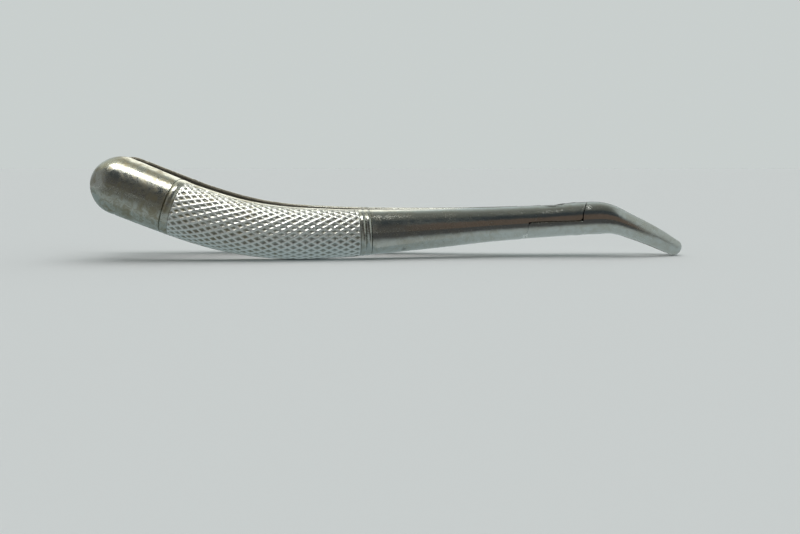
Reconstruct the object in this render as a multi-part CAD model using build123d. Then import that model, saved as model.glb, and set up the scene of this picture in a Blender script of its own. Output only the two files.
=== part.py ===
from build123d import *
import os
from math import cos, radians, sin, sqrt

# Dental extracting forceps for upper teeth. Two mirror-image forged steel halves cross in a
# half-lap joint and turn on one slotted screw. Each half is a handle with a rounded knob end,
# a checkered grip between raised rings, a plain shank, a lap plate and a hollowed beak.
#
# Millimetres. The origin is on the table under the middle of the overall length, +X points to
# the beak tips and +Z is up. The forceps lie closed on the two handles and the two beak tips.

# ---------------------------------------------------------------- driving dimensions

PIVOT_X = 46.8          # pivot, measured from the middle of the overall length
DATUM_X = 47.49         # where the stations of the handles and beaks are measured from
LAP_Z = 10.3            # height of the lap plane at the pivot
LAP_SLOPE = 1.6         # degrees that the lap plane rises towards the beaks
JOINT_SLOPE = 3.9       # degrees that the metal round the joint rises
LAP_GAP = 0.10          # play between the two lap faces
LAP_ROUNDING = 1.0      # rounded end of each lap plate, at the lap face
LAP_GROOVE = 0.20       # depth of the groove that the broken side edges leave along the lap
PARTING = 0.25          # from the middle plane to each half's inner face beside the joint

JOINT_HEIGHT = 9.5
JOINT_THICKNESS = 6.05  # of a handle or a beak where it meets the lap plates
JOINT_INSET = 0.03      # lap plates, inside the surface of the handles and beaks
SHOULDER_RADIUS = 10.0  # lap plates end on an arc about the pivot
SHOULDER_GAP = 0.25     # play between a plate and the other half's shoulder

SCREW_HEAD_DIAMETER = 7.4
SCREW_HEAD_SEAT = 2.7       # underside of the head above the lap plane
SCREW_HEAD_TOP = 4.4        # top of the head above the lap plane
SCREW_HEAD_PLAY = 0.15      # between the head and its recess, all round
SCREW_SEAT_PLAY = 0.05      # between the head and the bottom of its recess
SCREW_JOURNAL_DIAMETER = 4.6
SCREW_JOURNAL_FIT = 0.03    # radial clearance of the running fit
SCREW_THREAD_DIAMETER = 4.0
SCREW_END = -4.55           # end of the thread below the lap plane
SCREW_SLOT_WIDTH = 0.9
SCREW_SLOT_DEPTH = 0.9
SCREW_SLOT_TURN = 35        # degrees that the slot is turned from the length

INNER_CORNER = 0.6      # rounding between a section's flat inner face and its top and bottom
CORNER_SHARE = 0.35     # most of a small section's thickness or half height that it may take
CURVE = 0.5523          # handle length ratio of a Bezier quarter that follows a circle
FULLNESS = 0.66         # the same ratio for the outer side, which is fuller than an ellipse

KNOB_REACH = 7.3        # length of the rounded end of a handle
BEAK_REACH = 2.0        # length of the rounded beak tip
BEAK_BLEND = 1.0        # stretch of beak lofted together with its rounded tip
ROUNDING = (0.001, 0.02, 0.08, 0.20, 0.40, 0.68)   # where the rounded ends have sections

KNOB_END = -124.9       # where the rounded end starts, from the datum
KNOB_BLEND = 2.5        # straight stretch lofted together with the rounded end
KNOB_RING = (-110.2, -108.0)    # stretch of the single ring beside the knob
SHANK_RING = (-57.8, -54.6)     # stretch of the double ring beside the shank
RING_DEPTH = 0.35       # grooves beside the rings, below the handle's surface
RING_CROWN = 0.15       # rings, above the handle's surface
RING_FADE = 0.3         # share of that relief left at the top and bottom of the handle
RING_PROFILE = (        # share of one ring's pitch, and height above the handle's surface
    (0.17, -0.2 * RING_DEPTH),
    (0.33, 0.6 * RING_CROWN),
    (0.50, RING_CROWN),
    (0.67, 0.6 * RING_CROWN),
    (0.83, -0.2 * RING_DEPTH),
    (1.00, -RING_DEPTH),
)
GRIP_DEPTH = 0.42       # bed of the checkering, below the handle's surface
GRIP_BORDER = 0.17      # Bezier parameter where the bed meets its smooth border
GRIP_POINTS = 4         # points of the bed's floor from its border to the middle
HANDLE_PITCH = 7.0      # longest spacing of the sections that a handle is lofted through
BEAK_PITCH = 3.0        # the same for a beak

# Stations along a handle and a beak: distance from the datum, height of the section's middle,
# middle plane to inner face, section height across the metal and section thickness.
HANDLE = (
    (-133.0, 23.72, 3.4, 16.8, 9.1),
    (-122.0, 19.55, 5.2, 16.7, 9.1),
    (-111.0, 15.27, 7.0, 16.2, 8.8),
    (-101.0, 11.80, 8.4, 15.8, 8.6),
    (-91.0, 9.20, 9.2, 15.4, 8.4),
    (-81.0, 7.72, 9.2, 14.95, 8.2),
    (-71.0, 7.24, 8.7, 14.45, 7.9),
    (-60.0, 7.28, 7.6, 13.5, 7.4),
    (-48.0, 7.75, 5.9, 12.35, 6.8),
    (-34.0, 8.38, 3.5, 11.2, 6.3),
    (-20.0, 9.20, 1.3, 10.1, 6.1),
    (-5.0, 10.01, PARTING, JOINT_HEIGHT, JOINT_THICKNESS),
)
BEAK = (
    (5.0, 10.69, PARTING, JOINT_HEIGHT, JOINT_THICKNESS),
    (10.0, 10.98, PARTING, 9.55, 6.05),
    (13.5, 11.02, PARTING, 9.4, 6.05),
    (16.5, 10.62, PARTING, 8.5, 6.1),
    (20.0, 9.45, PARTING, 7.35, 6.05),
    (25.0, 7.42, PARTING, 6.6, 5.8),
    (30.0, 5.20, PARTING, 5.75, 5.0),
    (35.8, 2.25, PARTING, 4.6, 3.4),
)
# Hollow between the beaks: distance from the datum, its middle height, half width and half height.
HOLLOW_BEND = 15.0      # from here on its sections stand square to the beaks
HOLLOW_SLOPE = 25.5     # degrees that the beaks turn down there
HOLLOW = (
    (13.0, 11.0, 0.35, 6.0),
    (15.0, 10.9, 1.5, 7.0),
    (17.5, 10.3, 2.4, 7.0),
    (21.0, 9.1, 3.05, 6.6),
    (25.5, 7.2, 3.4, 5.7),
    (30.0, 5.2, 2.95, 4.7),
    (34.0, 3.2, 1.75, 3.8),
    (36.5, 1.95, 0.85, 3.4),
    (39.0, 0.7, 0.4, 3.2),
)

LAP = Plane(
    origin=(PIVOT_X, 0, LAP_Z),
    x_dir=(cos(radians(LAP_SLOPE)), 0, sin(radians(LAP_SLOPE))),
    z_dir=(-sin(radians(LAP_SLOPE)), 0, cos(radians(LAP_SLOPE))),
)
TALL = 40.0             # more than any part of the joint, for cutting tools
CLEAR = 3.0             # how far a cutting tool stands out of the surface that it cuts
STEP = 0.05             # for slopes along a handle or a beak


# ---------------------------------------------------------------- sections

def station(stations, x):
    """Values between the listed stations, on a smooth curve through them."""
    last = len(stations) - 1
    low = max(0, min(last - 1, sum(row[0] <= x for row in stations) - 1))
    a, b = stations[low], stations[low + 1]
    before, after = stations[max(low - 1, 0)], stations[min(low + 2, last)]
    span = b[0] - a[0]
    s = (x - a[0]) / span
    values = []
    for column in range(1, len(a)):
        slope_a = (b[column] - before[column]) / (b[0] - before[0]) * span
        slope_b = (after[column] - a[column]) / (after[0] - a[0]) * span
        rise = b[column] - a[column]
        bend = s * (1 - s)
        values.append(
            a[column] + rise * s * s * (3 - 2 * s)
            + bend * ((1 - s) * slope_a - s * slope_b)
        )
    return values


def across(stations, x, side):
    """Plane across the metal at x: its origin is on the inner face, its x points outwards."""
    back, ahead = station(stations, x - STEP), station(stations, x + STEP)
    along = Vector(2 * STEP, side * (ahead[1] - back[1]), ahead[0] - back[0])
    z, gap = station(stations, x)[:2]
    return Plane(origin=(DATUM_X + x, side * gap, z), x_dir=(0, side, 0), z_dir=along)


def inner_corner(height, thickness, scale=1.0):
    """Rounding beside the flat inner face of a section, less on a small one."""
    return min(scale * INNER_CORNER, CORNER_SHARE * thickness, CORNER_SHARE * height / 2)


def rounded(height, thickness, shift=0.0, scale=1.0):
    """Closed section: flat inner face at x = shift, full rounded outer side."""
    half = height / 2
    corner = inner_corner(height, thickness, scale)
    reach = thickness - corner
    inner, outer = shift, shift + thickness
    edge = inner + corner

    def quarter(sign):
        return (
            Bezier(
                (inner, sign * (half - corner)),
                (inner, sign * (half - corner + CURVE * corner)),
                (edge - CURVE * corner, sign * half),
                (edge, sign * half),
            ),
            Bezier(
                (edge, sign * half),
                (edge + FULLNESS * reach, sign * half),
                (outer, sign * FULLNESS * half),
                (outer, 0),
            ),
        )

    face = Line((inner, corner - half), (inner, half - corner))
    return Wire([face, *quarter(1), *quarter(-1)])


def outer_side(height, thickness, parameter, depth):
    """Point of the section's outer quarter at a Bezier parameter, moved inwards by depth."""
    half = height / 2
    corner = inner_corner(height, thickness)
    reach = thickness - corner
    t, u = parameter, 1 - parameter
    x = corner + reach * (3 * u * u * t * FULLNESS + 3 * u * t * t + t ** 3)
    y = half * (u ** 3 + 3 * u * u * t + 3 * u * t * t * FULLNESS)
    slope_x = reach * (3 * FULLNESS * (u * u - 2 * u * t) + 6 * u * t)
    slope_y = half * (3 * FULLNESS * (2 * u * t - t * t) - 6 * u * t)
    return Vector(x, y) - depth * Vector(-slope_y, slope_x).normalized()


def bed(height, thickness):
    """Section of the tool that cuts the checkering's bed into the outer side."""
    shares = [i / (GRIP_POINTS - 1) for i in range(GRIP_POINTS)]
    upper = [
        outer_side(height, thickness, GRIP_BORDER + (1 - GRIP_BORDER) * share, GRIP_DEPTH)
        for share in shares
    ]
    lower = [Vector(point.X, -point.Y) for point in upper[-2::-1]]
    rim = outer_side(height, thickness, GRIP_BORDER, -CLEAR)
    outside = thickness + CLEAR
    walls = [lower[-1], (rim.X, -rim.Y), (outside, -rim.Y), (outside, rim.Y), rim, upper[0]]
    lines = [Line(start, end) for start, end in zip(walls, walls[1:])]
    return Wire([Spline(*upper, *lower), *lines])


# ---------------------------------------------------------------- lofted stretches

def pitch(start, end, spacing=HANDLE_PITCH):
    """Evenly spaced stations from start to end, no further apart than spacing."""
    count = max(2, int((end - start) / spacing) + 1)
    return [start + (end - start) * i / count for i in range(count + 1)]


def stretch(stations, xs, side):
    """Sections of a stretch of metal."""
    wires = []
    for x in xs:
        _, _, height, thickness = station(stations, x)
        wires.append(across(stations, x, side).location * rounded(height, thickness))
    return wires


def rounded_end(stations, x, side, reach, anchor):
    """Sections that round off an end beyond x, from the apex inwards, keeping its taper."""
    plane = across(stations, x, side)
    outwards = -1 if x < 0 else 1
    sizes = station(stations, x)[2:]
    inside = station(stations, x - outwards * STEP)[2:]
    wires = []
    for fraction in ROUNDING:
        beyond = reach * (1 - fraction)
        height, thickness = [a + (a - b) / STEP * beyond for a, b in zip(sizes, inside)]
        scale = sqrt(1 - (1 - fraction) ** 2)
        shift = anchor * thickness * (1 - scale)
        section = rounded(scale * height, scale * thickness, shift, scale)
        wires.append(plane.location * Location((0, 0, outwards * beyond)) * section)
    return wires


def rings(side, start, end, count):
    """Raised rings between grooves, round the outer side of the handle."""
    pitch_length = (end - start) / count
    places = [(start, -RING_DEPTH)]
    for i in range(count):
        places += [(start + (i + share) * pitch_length, rise) for share, rise in RING_PROFILE]
    wires = []
    for x, rise in places:
        _, _, height, thickness = station(HANDLE, x)
        section = rounded(height + 2 * RING_FADE * rise, thickness + rise)
        wires.append(across(HANDLE, x, side).location * section)
    return Solid.make_loft(wires)


def handle(side):
    """Knob end, single ring, grip with its bed, double ring and plain shank."""
    dome_end = KNOB_END + KNOB_BLEND
    dome = Solid.make_loft(
        rounded_end(HANDLE, KNOB_END, side, KNOB_REACH, anchor=0.5)
        + stretch(HANDLE, (KNOB_END, dome_end), side)
    )
    knob = Solid.make_loft(stretch(HANDLE, pitch(dome_end, KNOB_RING[0]), side))
    grip_stations = pitch(KNOB_RING[1], SHANK_RING[0])
    grip = Solid.make_loft(stretch(HANDLE, grip_stations, side))
    beds = []
    for x in grip_stations:
        height, thickness = station(HANDLE, x)[2:]
        beds.append(across(HANDLE, x, side).location * bed(height, thickness))
    grip -= Solid.make_loft(beds)
    shank = Solid.make_loft(stretch(HANDLE, pitch(SHANK_RING[1], HANDLE[-1][0]), side))
    return dome + knob + rings(side, *KNOB_RING, 1) + grip + rings(side, *SHANK_RING, 2) + shank


def beak(side):
    """Beak with a rounded tip, hollowed on its inner side."""
    start, rounding = BEAK[0][0], BEAK[-1][0]
    blend = rounding - BEAK_BLEND
    arm = Solid.make_loft(stretch(BEAK, pitch(start, blend, BEAK_PITCH), side))
    tip = Solid.make_loft(
        stretch(BEAK, (blend, rounding), side)
        + rounded_end(BEAK, rounding, side, BEAK_REACH, anchor=0.2)[::-1]
    )
    hollow = []
    for x, z, half_width, half_height in HOLLOW:
        turn = radians(0 if x < HOLLOW_BEND else HOLLOW_SLOPE)
        along = Vector(cos(turn), 0, -sin(turn))
        plane = Plane(origin=(DATUM_X + x, 0, z), x_dir=(0, 1, 0), z_dir=along)
        hollow.append(plane.location * Ellipse(half_width, half_height).wire())
    return arm + tip - Solid.make_loft(hollow)


# ---------------------------------------------------------------- lap joint

def lap_round(radius, low, high):
    """Upright cylinder about the pivot between two heights above the lap plane."""
    body = Cylinder(radius, high - low, align=(Align.CENTER, Align.CENTER, Align.MIN))
    return LAP.location * Location((0, 0, low)) * body


def joint_bar():
    """Full-width bar that both lap plates are cut from."""
    half = JOINT_HEIGHT / 2 - JOINT_INSET
    width = PARTING + JOINT_THICKNESS - JOINT_INSET
    flat = PARTING + INNER_CORNER
    reach = width - flat
    quarters = [
        Bezier(
            (sx * flat, sy * half),
            (sx * (flat + FULLNESS * reach), sy * half),
            (sx * width, sy * FULLNESS * half),
            (sx * width, 0),
        )
        for sx, sy in ((1, 1), (1, -1), (-1, -1), (-1, 1))
    ]
    flats = [Line((-flat, sy * half), (flat, sy * half)) for sy in (1, -1)]
    face = Face(Wire([*quarters, *flats]))
    rise = radians(JOINT_SLOPE)
    middle = Plane(origin=LAP.origin, x_dir=(0, 1, 0), z_dir=(cos(rise), 0, sin(rise)))
    return extrude(middle.location * face, amount=SHOULDER_RADIUS + 1, both=True)


def lap_plate(top):
    """Half-thickness plate of one half, inside the shoulders' arc."""
    disc = Cylinder(SHOULDER_RADIUS, TALL, align=(Align.CENTER, Align.CENTER, Align.MIN))
    disc = fillet(disc.edges().group_by(Axis.Z)[0], LAP_ROUNDING)
    disc = Location((0, 0, LAP_GAP / 2)) * disc
    if not top:
        disc = disc.mirror(Plane.XY)
    return joint_bar() & (LAP.location * disc)


def side_grooves():
    """Tools for the groove along the lap on both sides of the joint."""
    width = PARTING + JOINT_THICKNESS - JOINT_INSET
    length = 2 * sqrt(SHOULDER_RADIUS ** 2 - width ** 2)
    square = sqrt(2) * (LAP_GROOVE + LAP_GAP / 2)
    tool = Rot(45, 0, 0) * Box(length, square, square)
    places = [LAP.location * Location((0, side * width, 0)) for side in (-1, 1)]
    return [place * tool for place in places]


def half(top):
    """One half. The top lap plate belongs to the half whose handle is at -Y."""
    side = -1 if top else 1
    shoulder = SHOULDER_RADIUS + SHOULDER_GAP
    if top:
        other_plate = lap_round(shoulder, -TALL, LAP_GAP / 2)
    else:
        other_plate = lap_round(shoulder, -LAP_GAP / 2, TALL)
    return handle(side) + beak(-side) - other_plate + lap_plate(top) - side_grooves()


def screw_bore():
    """Recess for the head and bore for the journal, through the top plate."""
    recess_floor = SCREW_HEAD_SEAT - SCREW_SEAT_PLAY
    recess = lap_round(SCREW_HEAD_DIAMETER / 2 + SCREW_HEAD_PLAY, recess_floor, TALL)
    return recess + lap_round(SCREW_JOURNAL_DIAMETER / 2 + SCREW_JOURNAL_FIT, 0, TALL)


def joint_screw():
    """Slotted screw: head in the top plate, journal in its bore, thread in the bottom plate."""
    head = lap_round(SCREW_HEAD_DIAMETER / 2, SCREW_HEAD_SEAT, SCREW_HEAD_TOP)
    journal = lap_round(SCREW_JOURNAL_DIAMETER / 2, -LAP_GAP / 2, SCREW_HEAD_SEAT)
    thread = lap_round(SCREW_THREAD_DIAMETER / 2, SCREW_END, -LAP_GAP / 2)
    slot = Box(SCREW_HEAD_DIAMETER + CLEAR, SCREW_SLOT_WIDTH, 2 * SCREW_SLOT_DEPTH)
    slot = LAP.location * Location((0, 0, SCREW_HEAD_TOP)) * Rot(0, 0, SCREW_SLOT_TURN) * slot
    return head + journal + thread - slot


# ---------------------------------------------------------------- the three pieces

pieces = {
    "upper_lap_half": half(top=True) - screw_bore(),
    "lower_lap_half": half(top=False) - lap_round(SCREW_THREAD_DIAMETER / 2, -TALL, 0),
    "joint_screw": joint_screw(),
}
os.makedirs("parts", exist_ok=True)
for name, shape in pieces.items():
    box = shape.bounding_box()
    print(name, "valid", shape.is_valid, "volume", round(shape.volume), box.min, box.max)
    export_step(shape, f"parts/{name}.step")
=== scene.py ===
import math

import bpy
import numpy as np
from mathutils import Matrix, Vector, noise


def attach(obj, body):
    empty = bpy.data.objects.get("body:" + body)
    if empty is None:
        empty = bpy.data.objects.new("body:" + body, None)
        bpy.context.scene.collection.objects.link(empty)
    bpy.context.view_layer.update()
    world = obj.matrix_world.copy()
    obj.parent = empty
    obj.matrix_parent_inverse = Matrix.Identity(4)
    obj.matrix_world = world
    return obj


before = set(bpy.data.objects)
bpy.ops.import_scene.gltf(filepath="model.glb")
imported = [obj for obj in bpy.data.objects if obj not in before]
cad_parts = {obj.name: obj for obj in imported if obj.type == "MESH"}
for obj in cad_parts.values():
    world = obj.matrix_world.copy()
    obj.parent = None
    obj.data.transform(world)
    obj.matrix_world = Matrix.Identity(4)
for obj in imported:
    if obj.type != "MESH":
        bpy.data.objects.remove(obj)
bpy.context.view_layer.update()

# Dental extracting forceps: the checkering, the metal, the studio and the camera.
# Lengths are millimetres until a mesh or an object is made, where MM turns them into metres.
# The row frame has +X towards the beak tips and +Z up, and the camera looks along +Y.

scene = bpy.context.scene
MM = 0.001


# ---------------------------------------------------------------- checkering
#
# Each handle's CAD node has a smooth bed where the checkering lies. The checkering is a closed
# skin in that bed, with raised crossing ridges around diamond pits.

# Sections of the handle, as in the CAD: distance from the datum, height of the middle, middle
# plane to inner face, height across the metal and thickness.
HANDLE = (
    (-122.0, 19.55, 5.2, 16.7, 9.1),
    (-111.0, 15.27, 7.0, 16.2, 8.8),
    (-101.0, 11.80, 8.4, 15.8, 8.6),
    (-91.0, 9.20, 9.2, 15.4, 8.4),
    (-81.0, 7.72, 9.2, 14.95, 8.2),
    (-71.0, 7.24, 8.7, 14.45, 7.9),
    (-60.0, 7.28, 7.6, 13.5, 7.4),
    (-48.0, 7.75, 5.9, 12.35, 6.8),
    (-34.0, 8.38, 3.5, 11.2, 6.3),
)
DATUM_X = 47.49
INNER_CORNER = 0.6      # rounding beside the section's flat inner face
CORNER_SHARE = 0.35     # most of a small section's thickness or half height that it may take
FULLNESS = 0.66         # handle length ratio of the outer side's Bezier quarters

SKIN_START = -107.85    # from the datum, clear of the ring beside the knob
SKIN_END = -57.92       # against the double ring
SKIN_BORDER = 0.155     # Bezier parameter of the skin's edges, tucked under the bed's border
SKIN_THICKNESS = 0.75   # from the ridges to the back of the skin, inside the handle

DIAMOND_LENGTH = 3.14   # long diagonal of a pit, along the handle
DIAMOND_WIDTH = 1.84    # short diagonal, across it
STEPS = 6               # mesh steps in half a diagonal
RIDGE_DROP = 0.03       # ridges below the handle's surface
PIT_DEPTH = 0.33        # pits below the ridges
RIDGE_TOP = 0.02        # half width of a ridge's top, as a share of the ridge spacing
RIDGE_FOOT = 0.47       # half width of its foot
LOW_RIDGES = 0.90       # height of the ridges that fall towards the beaks, beside the others
BORDER_LAND = (0.12, 0.36)      # plain border of the skin, and where its flank ends
WEAR = 0.035            # unevenness of the ridges
WEAR_GRAIN = 0.9        # patches of that unevenness per millimetre
BACK_ROWS = 9           # vertices across the back of the skin
CURVE_POINTS = 80       # points that a section's outline is measured through
PATH_POINTS = 400       # the same for the line along the handle


def section_values(x):
    """Height, gap, section height and thickness at x, on a smooth curve through the stations."""
    last = len(HANDLE) - 1
    low = max(0, min(last - 1, sum(row[0] <= x for row in HANDLE) - 1))
    a, b = np.array(HANDLE[low]), np.array(HANDLE[low + 1])
    before, after = np.array(HANDLE[max(low - 1, 0)]), np.array(HANDLE[min(low + 2, last)])
    span = b[0] - a[0]
    s = (x - a[0]) / span
    slope_a = (b - before) / (b[0] - before[0]) * span
    slope_b = (after - a) / (after[0] - a[0]) * span
    bend = s * (1 - s) * ((1 - s) * slope_a - s * slope_b)
    return (a + (b - a) * s * s * (3 - 2 * s) + bend)[1:]


def section_axes(x, side):
    """Origin on the inner face, and unit vectors outwards and upwards, of the section at x."""
    step = 0.05
    back, ahead = section_values(x - step), section_values(x + step)
    along = Vector((2 * step, side * (ahead[1] - back[1]), ahead[0] - back[0])).normalized()
    outwards = Vector((0, side, 0))
    outwards = (outwards - outwards.dot(along) * along).normalized()
    height, gap = section_values(x)[:2]
    origin = Vector((DATUM_X + x, side * gap, height))
    return np.array(origin), np.array(outwards), np.array(side * along.cross(outwards))


def section_curve(x):
    """The outer quarter from its middle to the skin's edge: arc length, points and normals."""
    height, thickness = section_values(x)[2:]
    half = height / 2
    corner = min(INNER_CORNER, CORNER_SHARE * thickness, CORNER_SHARE * half)
    reach = thickness - corner
    t = np.linspace(1, SKIN_BORDER, CURVE_POINTS)
    u = 1 - t
    points = np.stack((
        corner + reach * (3 * u * u * t * FULLNESS + 3 * u * t * t + t ** 3),
        half * (u ** 3 + 3 * u * u * t + 3 * u * t * t * FULLNESS),
    ), axis=1)
    steps = np.diff(points, axis=0)
    arc = np.concatenate(([0], np.cumsum(np.linalg.norm(steps, axis=1))))
    tangents = np.gradient(points, axis=0)
    normals = np.stack((tangents[:, 1], -tangents[:, 0]), axis=1)
    normals /= np.linalg.norm(normals, axis=1, keepdims=True)
    return arc, points, normals


def column_places():
    """Distances from the datum of the skin's columns, evenly spaced along the surface."""
    xs = np.linspace(SKIN_START, SKIN_END, PATH_POINTS)
    values = np.array([section_values(x) for x in xs])
    middle = np.stack((xs, values[:, 1] + values[:, 3], values[:, 0]), axis=1)
    lengths = np.linalg.norm(np.diff(middle, axis=0), axis=1)
    path = np.concatenate(([0], np.cumsum(lengths)))
    count = round(path[-1] / (DIAMOND_LENGTH / 2 / STEPS))
    return np.interp(np.linspace(0, path[-1], count + 1), path, xs), path[-1]


def smooth_step(low, high, value):
    share = np.clip((value - low) / (high - low), 0, 1)
    return share * share * (3 - 2 * share)


def ridge_height(along, across, edge_distance):
    """0 in a pit and 1 on a ridge or on the plain border, from places on the surface."""
    crossing = (
        along / DIAMOND_LENGTH + across / DIAMOND_WIDTH,
        along / DIAMOND_LENGTH - across / DIAMOND_WIDTH,
    )
    height = 1 - smooth_step(*BORDER_LAND, edge_distance)
    for family, crown in zip(crossing, (LOW_RIDGES, 1.0)):
        away = np.abs(family - np.round(family))
        height = np.maximum(height, crown * (1 - smooth_step(RIDGE_TOP, RIDGE_FOOT, away)))
    return height


def surface_point(column, across, depth):
    """Point below the surface at a signed arc length across the section."""
    origin, outwards, upwards, arc, points, normals = column
    sign = -1 if across < 0 else 1
    place = [np.interp(abs(across), arc, points[:, i]) for i in (0, 1)]
    normal = [np.interp(abs(across), arc, normals[:, i]) for i in (0, 1)]
    x, y = place[0] - depth * normal[0], place[1] - depth * normal[1]
    return origin + x * outwards + sign * y * upwards


def checkering(name, side):
    """The closed skin of one handle's checkering."""
    xs, length = column_places()
    pitch_across = DIAMOND_WIDTH / 2 / STEPS
    vertices, heights, faces, front, back = [], [], [], [], []
    for i, x in enumerate(xs):
        column = (*section_axes(x, side), *section_curve(x))
        edge = column[3][-1]
        rows = round(edge / pitch_across)
        along = length * i / (len(xs) - 1)
        index = {}
        for j in range(-rows, rows + 1):
            across = edge * j / rows if abs(j) == rows else j * pitch_across
            edge_distance = min(edge - abs(across), along, length - along)
            height = float(ridge_height(along, across, edge_distance))
            place = Vector((along, across, 0)) * WEAR_GRAIN
            place.z = side * 5.0    # another part of the noise for each skin
            worn = WEAR * height * max(noise.noise(place), 0)
            depth = RIDGE_DROP + PIT_DEPTH * (1 - height) + worn
            index[j] = len(vertices)
            vertices.append(surface_point(column, across, depth))
            heights.append(height)
        front.append(index)
        inner = []
        for across in np.linspace(-edge, edge, BACK_ROWS):
            inner.append(len(vertices))
            vertices.append(surface_point(column, across, SKIN_THICKNESS))
            heights.append(0.0)
        back.append(inner)

    for a, b in zip(front, front[1:]):
        rows_a, rows_b = max(a), max(b)
        shared = min(rows_a, rows_b)
        for j in range(-shared, shared):
            corners = (a[j], b[j], b[j + 1], a[j + 1])
            first = abs(heights[corners[0]] - heights[corners[2]])
            second = abs(heights[corners[1]] - heights[corners[3]])
            if first <= second:
                faces += [corners[:3], (corners[0], corners[2], corners[3])]
            else:
                faces += [(corners[0], corners[1], corners[3]), corners[1:]]
        if rows_a > shared:
            faces += [(a[shared], b[shared], a[rows_a]), (b[-shared], a[-shared], a[-rows_a])]
        if rows_b > shared:
            faces += [(a[shared], b[shared], b[rows_b]), (b[-shared], a[-shared], b[-rows_b])]
    for (a, b), (c, d) in zip(zip(front, front[1:]), zip(back, back[1:])):
        for k in range(BACK_ROWS - 1):
            faces.append((c[k], c[k + 1], d[k + 1], d[k]))
        faces.append((a[max(a)], b[max(b)], d[-1], c[-1]))
        faces.append((b[min(b)], a[min(a)], c[0], d[0]))
    for index, inner in ((front[0], back[0]), (front[-1], back[-1])):
        outline = [index[j] for j in sorted(index)] + inner[::-1]
        faces.append(tuple(outline if index is front[0] else outline[::-1]))

    mesh = bpy.data.meshes.new(name)
    mesh.from_pydata([tuple(float(c) * MM for c in v) for v in vertices], [], faces)
    if side < 0:
        mesh.flip_normals()
    crest = mesh.attributes.new("crest", "FLOAT", "POINT")
    crest.data.foreach_set("value", np.array(heights, np.float32))
    mesh.shade_smooth()
    mesh.validate()
    piece = bpy.data.objects.new(name, mesh)
    scene.collection.objects.link(piece)
    return piece


# ---------------------------------------------------------------- materials

def add(tree, kind, inputs=None, **settings):
    """A shader node with its settings, and its inputs set to values or linked to sockets."""
    made = tree.nodes.new(kind)
    for key, value in settings.items():
        setattr(made, key, value)
    for key, value in (inputs or {}).items():
        if isinstance(value, bpy.types.NodeSocket):
            tree.links.new(value, made.inputs[key])
        else:
            made.inputs[key].default_value = value
    return made


def grain(tree, place, size, detail=4.0, roughness=0.55, distortion=0.0):
    """Noise whose patches are about size millimetres across."""
    made = add(tree, "ShaderNodeTexNoise", {
        "Vector": place, "Scale": 1 / (size * MM), "Detail": detail,
        "Roughness": roughness, "Distortion": distortion,
    })
    return made.outputs["Fac"]


def between(tree, value, low, high, out_low=0.0, out_high=1.0):
    """Value taken smoothly from low..high to out_low..out_high."""
    made = add(tree, "ShaderNodeMapRange", {
        "Value": value, "From Min": low, "From Max": high, "To Min": out_low, "To Max": out_high,
    }, interpolation_type="SMOOTHSTEP")
    return made.outputs["Result"]


def calculate(tree, operation, a, b):
    return add(tree, "ShaderNodeMath", {0: a, 1: b}, operation=operation).outputs[0]


def blend_colour(tree, factor, a, b):
    """Colour a, taken towards b by a factor. The numbers are the mix node's colour sockets."""
    return add(tree, "ShaderNodeMix", {0: factor, 6: a, 7: b}, data_type="RGBA").outputs[2]


# Colours of the metal and of what lies on it.
NICKEL_COOL = (0.49, 0.515, 0.50, 1)    # beaks
NICKEL_WARM = (0.52, 0.535, 0.49, 1)    # knobs
TARNISH = (0.295, 0.255, 0.160, 1)
# soot of the stains and pores, and painted shade in the checkering's pits
SOOT_AND_SHADE = (0.08, 0.08, 0.07, 1)
BARE = (0.86, 0.87, 0.85, 1)
# painted shade for the faces between the two halves
PAINTED_INNER_SHADE = (0.17, 0.155, 0.125, 1)

# Sizes of the plate's patterns.
CLOUDS = 9.0
MOTTLE = 2.3
RUBS = 1.1
PORES = 0.55
SCRATCHES = 0.22
SCRATCH_RUN = (0.06, 1.0, 1.0)      # draws the scratches out along X

# Stretches of X over which the plate changes.
HANDLED = (30, -70)     # from the cool plate of the joint to the warm, tarnished knobs
MATTE_TIPS = (66, 81)   # to the dull beak tips
SHADED_CORNERS = (-45, -20)       # from the handles' inner corners, darkened by painted shade, to shiny ones

RELIEF_DEPTH = 0.006    # of the fine relief that only the shading has

# Scuffed places and stains: middle and radius.
SCUFFS = (
    ((56.3, -5.0, 14.6), 2.6),
    ((38.2, -4.6, 6.2), 2.2),
    ((-4.4, -13.3, 11.0), 0.6),
    ((-4.2, -13.6, 9.0), 0.6),
    ((-5.0, -13.5, 7.8), 0.5),
)
STAINS = (
    ((2.7, -9.6, 3.0), 1.1),
    ((-76.0, -11.6, 16.6), 2.4),
    ((-66.0, -12.0, 13.0), 2.0),
)
SPOT_CORE = 0.3         # share of a spot's radius inside which it is at its strongest


def along_x(tree, x, stretch, out_low=0.0, out_high=1.0):
    """Value that changes smoothly over a stretch of X given in millimetres."""
    return between(tree, x, stretch[0] * MM, stretch[1] * MM, out_low, out_high)


def spots_mask(tree, place, spots):
    """1 in the middle of any of the spots, and 0 outside them all."""
    mask = 0.0
    for middle, radius in spots:
        away = add(tree, "ShaderNodeVectorMath", {0: place, 1: tuple(Vector(middle) * MM)},
                   operation="DISTANCE").outputs["Value"]
        near = between(tree, away, radius * MM, SPOT_CORE * radius * MM)
        mask = calculate(tree, "MAXIMUM", near, mask)
    return mask


def painted_inner_shade(tree, x, y):
    """1 on the faces that look towards the middle plane, where painted shade darkens the space
    between the two halves.
    """
    normal = add(tree, "ShaderNodeSeparateXYZ", {
        0: add(tree, "ShaderNodeTexCoord").outputs["Normal"],
    })
    outwards = calculate(tree, "MULTIPLY", calculate(tree, "SIGN", y, 0.0), normal.outputs["Y"])
    shine = along_x(tree, x, SHADED_CORNERS, 0.0, 0.45)
    return between(tree, calculate(tree, "ADD", outwards, shine), -0.1, -0.6)


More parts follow.
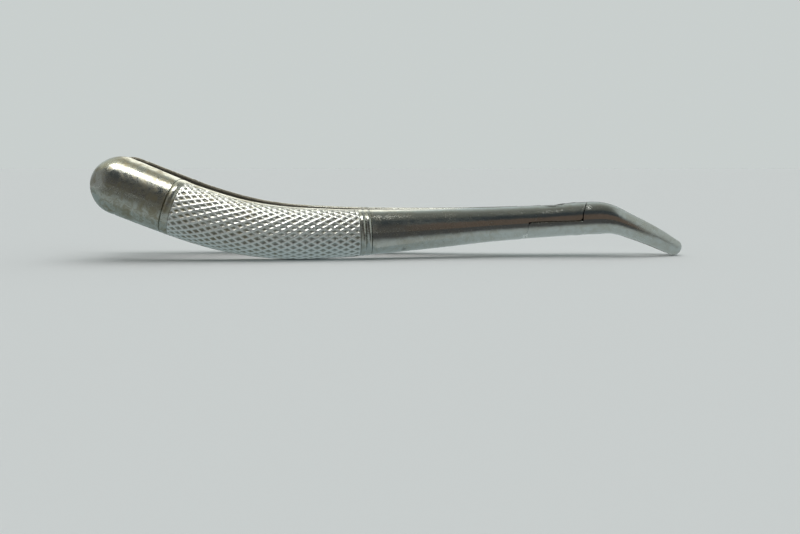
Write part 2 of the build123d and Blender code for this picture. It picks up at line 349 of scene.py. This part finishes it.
def old_plate(name, checkered=False, polish=0.15):
    """Old nickel plate on steel: clouds of tarnish, dark pores, pale rubbed spots, scratches."""
    material = bpy.data.materials.new(name)
    material.use_nodes = True
    tree = material.node_tree
    shader = tree.nodes["Principled BSDF"]
    place = add(tree, "ShaderNodeTexCoord").outputs["Object"]
    split = add(tree, "ShaderNodeSeparateXYZ", {0: place})
    x, y = split.outputs["X"], split.outputs["Y"]

    clouds = grain(tree, place, CLOUDS, 3.0)
    mottle = grain(tree, place, MOTTLE, 8.0, 0.68, 0.7)
    rubs = grain(tree, place, RUBS, 4.0, 0.7, 0.4)
    pores = grain(tree, place, PORES, 3.0, 0.6)
    drawn = add(tree, "ShaderNodeVectorMath", {0: place, 1: SCRATCH_RUN}, operation="MULTIPLY")
    scratches = grain(tree, drawn.outputs[0], SCRATCHES, 4.0, 0.7)

    handled = along_x(tree, x, HANDLED)
    cloudy = calculate(tree, "ADD", mottle, calculate(tree, "MULTIPLY", clouds, 0.45))
    tarnished = calculate(tree, "MULTIPLY", between(tree, cloudy, 0.58, 0.92),
                          between(tree, handled, 0.0, 1.0, 0.35, 1.0))
    sooty = between(tree, pores, 0.64, 0.76)
    scuffed = calculate(tree, "MULTIPLY", spots_mask(tree, place, SCUFFS), pores)

    # Each layer's mask, colour, opacity and what it adds to the roughness.
    layers = [
        (handled, NICKEL_WARM, 1.0, 0.05),
        (tarnished, TARNISH, 0.85, 0.22),
        (spots_mask(tree, place, STAINS), SOOT_AND_SHADE, 0.6, 0.0),
        (sooty, SOOT_AND_SHADE, 0.7, 0.2),
        (between(tree, rubs, 0.64, 0.80), BARE, 0.5, 0.0),
        # painted shade on the faces between the halves, which are also made rougher
        (painted_inner_shade(tree, x, y), PAINTED_INNER_SHADE, 1.0, 0.3),
        (between(tree, scuffed, 0.42, 0.62), BARE, 0.75, 0.225),
    ]
    if checkered:
        crest = add(tree, "ShaderNodeAttribute", attribute_name="crest").outputs["Fac"]
        layers += [
            # painted shade in the checkering's pits
            (between(tree, crest, 0.40, 0.02), SOOT_AND_SHADE, 0.35, 0.0),
            (between(tree, crest, 0.45, 0.85), BARE, 0.9, 0.0),
        ]
    colour = NICKEL_COOL
    rough = calculate(tree, "ADD", between(tree, scratches, 0.3, 0.7, polish - 0.03, polish + 0.05),
                      along_x(tree, x, MATTE_TIPS, 0.0, 0.16))
    for mask, tint, opacity, dullness in layers:
        colour = blend_colour(tree, calculate(tree, "MULTIPLY", mask, opacity), colour, tint)
        rough = calculate(tree, "ADD", rough, calculate(tree, "MULTIPLY", mask, dullness))

    relief = calculate(tree, "ADD", calculate(tree, "MULTIPLY", scratches, 0.6),
                       calculate(tree, "MULTIPLY", mottle, 1.2))
    relief = calculate(tree, "SUBTRACT", relief, calculate(tree, "MULTIPLY", sooty, 0.8))
    bump = add(tree, "ShaderNodeBump", {
        "Height": relief, "Distance": RELIEF_DEPTH * MM, "Strength": 1.0,
    })
    tree.links.new(colour, shader.inputs["Base Color"])
    tree.links.new(rough, shader.inputs["Roughness"])
    tree.links.new(bump.outputs["Normal"], shader.inputs["Normal"])
    shader.inputs["Metallic"].default_value = 1.0
    return material


def dress(piece, material):
    piece.data.materials.clear()
    piece.data.materials.append(material)


# ---------------------------------------------------------------- studio

def world_direction(tree):
    """X of the view direction, and its angle about the X axis: 0 towards -Y, 1 towards +Y."""
    split = add(tree, "ShaderNodeSeparateXYZ", {
        0: add(tree, "ShaderNodeTexCoord").outputs["Generated"],
    })
    towards = calculate(tree, "MULTIPLY", split.outputs["Y"], -1.0)
    angle = calculate(tree, "ARCTAN2", split.outputs["Z"], towards)
    return split.outputs["X"], calculate(tree, "DIVIDE", angle, math.pi)


# Light of the room by the angle above the horizon in front, in half turns.
ROOM = (
    (0.00, (0.115, 0.110, 0.100)),
    (0.12, (0.080, 0.078, 0.075)),
    (0.17, (0.050, 0.058, 0.062)),
    (0.26, (0.052, 0.062, 0.068)),
    (0.33, (0.120, 0.125, 0.110)),
    (0.50, (0.190, 0.195, 0.170)),
    (0.60, (0.290, 0.300, 0.270)),
    (0.72, (0.480, 0.520, 0.490)),
    (0.86, (0.680, 0.760, 0.760)),
    (0.92, (0.400, 0.430, 0.420)),
    (1.00, (0.180, 0.190, 0.180)),
)
RIGHT_SIDE = (0.60, 0.65, 0.63, 1)
LEFT_SIDE = (0.30, 0.31, 0.31, 1)
RIGHT_EDGE = (0.42, 0.62)       # X of the directions where the right side takes over
LEFT_EDGE = (-0.55, -0.85)
BACKDROP = (0.585, 0.625, 0.615, 1)     # what the camera sees, as bright as the floor

FLOOR_REACH = 30.0      # metres
FLOOR_COLOUR = (0.80, 0.82, 0.83, 1)
SKY_POWER = 1.3
SKY_WIDTH = 70          # degrees
SKY_TILT = (-12, 6)     # degrees about X and Y

# Cards that only the metal's reflections show: their span of X, Y and Z of two edges, the two
# colours that they are shaded between, and the axis and stretch of that shading.
CARDS = {
    "right_flag": ((-4, 500), (-600, 0.3), (-13, 0.3),
                   (0.48, 0.52, 0.51), (0.085, 0.085, 0.085), "Y", (-14, -30)),
    "left_flag": ((-500, -4), (-600, 0.3), (-20, 0.3),
                  (0.38, 0.42, 0.42), (0.125, 0.125, 0.11), "Y", (-24, -120)),
    "back_flag": ((-500, 500), (60, 0.3), (600, 0.3),
                  (0.40, 0.44, 0.43), (0.10, 0.10, 0.095), "Y", (60, 150)),
    "under_card": ((-500, 500), (-20, 0.25), (60, 0.25),
                   (0.30, 0.36, 0.37), (0.50, 0.56, 0.56), "X", (-20, 45)),
    "brown_card": ((55, 130), (-110, 0.5), (-110, 55),
                   (0.155, 0.115, 0.09), (0.165, 0.12, 0.095), "Z", (0, 55)),
    "back_glow": ((-140, 60), (300, 90), (300, 330),
                  (1.70, 1.68, 1.48), (0.72, 0.80, 0.78), "X", (5, 58)),
    "ceiling": ((-600, -60), (-70, 420), (500, 420),
                (0.60, 0.61, 0.48), (0.66, 0.68, 0.60), "Y", (-60, 300)),
    "softbox": ((-260, 30), (-185, 375), (-70, 415),
                (10, 10, 9.7), (10, 10, 9.7), "X", (-260, 30)),
}

CAMERA_PLACE = (-6.81, -279.0, 25.7)
CAMERA_LENS = 42.75
CAMERA_PITCH = 5.95     # degrees down
CAMERA_HEADING = 1.8    # degrees towards +X


def make_world():
    world = bpy.data.worlds.new("studio")
    scene.world = world
    world.use_nodes = True
    tree = world.node_tree
    tree.nodes.clear()
    sideways, angle = world_direction(tree)
    ramp = add(tree, "ShaderNodeValToRGB", {"Fac": angle})
    stops = ramp.color_ramp.elements
    while len(stops) < len(ROOM):
        stops.new(0.5)
    for stop, (position, colour) in zip(stops, ROOM):
        stop.position = position
        stop.color = (*colour, 1)
    colour = ramp.outputs["Color"]
    colour = blend_colour(tree, between(tree, sideways, *RIGHT_EDGE), colour, RIGHT_SIDE)
    colour = blend_colour(tree, between(tree, sideways, *LEFT_EDGE), colour, LEFT_SIDE)
    seen = add(tree, "ShaderNodeLightPath").outputs["Is Camera Ray"]
    colour = blend_colour(tree, seen, colour, BACKDROP)
    back = add(tree, "ShaderNodeBackground", {"Color": colour})
    out = add(tree, "ShaderNodeOutputWorld")
    tree.links.new(back.outputs[0], out.inputs["Surface"])


def make_floor():
    mesh = bpy.data.meshes.new("floor")
    signs = ((-1, -1), (1, -1), (1, 1), (-1, 1))
    corners = [(x * FLOOR_REACH, y * FLOOR_REACH, 0) for x, y in signs]
    mesh.from_pydata(corners, [], [(0, 1, 2, 3)])
    floor = bpy.data.objects.new("floor", mesh)
    scene.collection.objects.link(floor)
    material = bpy.data.materials.new("floor")
    material.use_nodes = True
    shader = material.node_tree.nodes["Principled BSDF"]
    shader.inputs["Base Color"].default_value = FLOOR_COLOUR
    shader.inputs["Roughness"].default_value = 0.9
    shader.inputs["Specular IOR Level"].default_value = 0.0
    floor.data.materials.append(material)


def make_card(name, x_span, first_edge, second_edge, near, far, axis, stretch):
    """A flat card between two edges along X, shaded from near to far along an axis."""
    (left, right), (y_first, z_first), (y_second, z_second) = x_span, first_edge, second_edge
    corners = (
        (left, y_first, z_first),
        (right, y_first, z_first),
        (right, y_second, z_second),
        (left, y_second, z_second),
    )
    mesh = bpy.data.meshes.new(name)
    mesh.from_pydata([Vector(corner) * MM for corner in corners], [], [(0, 1, 2, 3)])
    card = bpy.data.objects.new(name, mesh)
    scene.collection.objects.link(card)
    material = bpy.data.materials.new(name)
    material.use_nodes = True
    tree = material.node_tree
    tree.nodes.clear()
    split = add(tree, "ShaderNodeSeparateXYZ", {0: add(tree, "ShaderNodeTexCoord").outputs["Object"]})
    share = between(tree, split.outputs[axis], stretch[0] * MM, stretch[1] * MM)
    colour = blend_colour(tree, share, (*near, 1), (*far, 1))
    glow = add(tree, "ShaderNodeEmission", {"Color": colour})
    out = add(tree, "ShaderNodeOutputMaterial")
    tree.links.new(glow.outputs[0], out.inputs["Surface"])
    mesh.materials.append(material)
    for ray in ("camera", "diffuse", "shadow", "transmission", "volume_scatter"):
        setattr(card, "visible_" + ray, False)


def sky_light():
    """Broad light that falls on the floor and isn't mirrored in the metal."""
    data = bpy.data.lights.new("sky", "SUN")
    data.energy = SKY_POWER
    data.angle = math.radians(SKY_WIDTH)
    light = bpy.data.objects.new("sky", data)
    scene.collection.objects.link(light)
    light.rotation_euler = (*(math.radians(turn) for turn in SKY_TILT), 0)
    light.visible_glossy = False


def make_camera():
    camera = bpy.data.objects.new("camera", bpy.data.cameras.new("camera"))
    scene.collection.objects.link(camera)
    camera.data.lens = CAMERA_LENS
    camera.data.sensor_width = 36.0
    camera.data.clip_start = 0.01
    camera.data.clip_end = 100.0
    camera.location = Vector(CAMERA_PLACE) * MM
    pitch, heading = math.radians(CAMERA_PITCH), math.radians(CAMERA_HEADING)
    look = Vector((
        math.sin(heading) * math.cos(pitch),
        math.cos(heading) * math.cos(pitch),
        -math.sin(pitch),
    ))
    camera.rotation_euler = look.to_track_quat("-Z", "Y").to_euler()
    scene.camera = camera


# ---------------------------------------------------------------- the scene

for name, side, body in (
    ("upper_half_checkering", -1, "turning_half"),
    ("lower_half_checkering", 1, "fixed_half"),
):
    skin = checkering(name, side)
    dress(skin, old_plate(name, checkered=True, polish=0.3))
    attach(skin, body)

dress(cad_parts["upper_lap_half"], old_plate("upper_plate"))
dress(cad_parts["lower_lap_half"], old_plate("lower_plate"))
dress(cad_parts["joint_screw"], old_plate("screw_steel", polish=0.25))

make_camera()
make_world()
make_floor()
for name, values in CARDS.items():
    make_card(name, *values)
sky_light()
scene.view_settings.view_transform = "Standard"
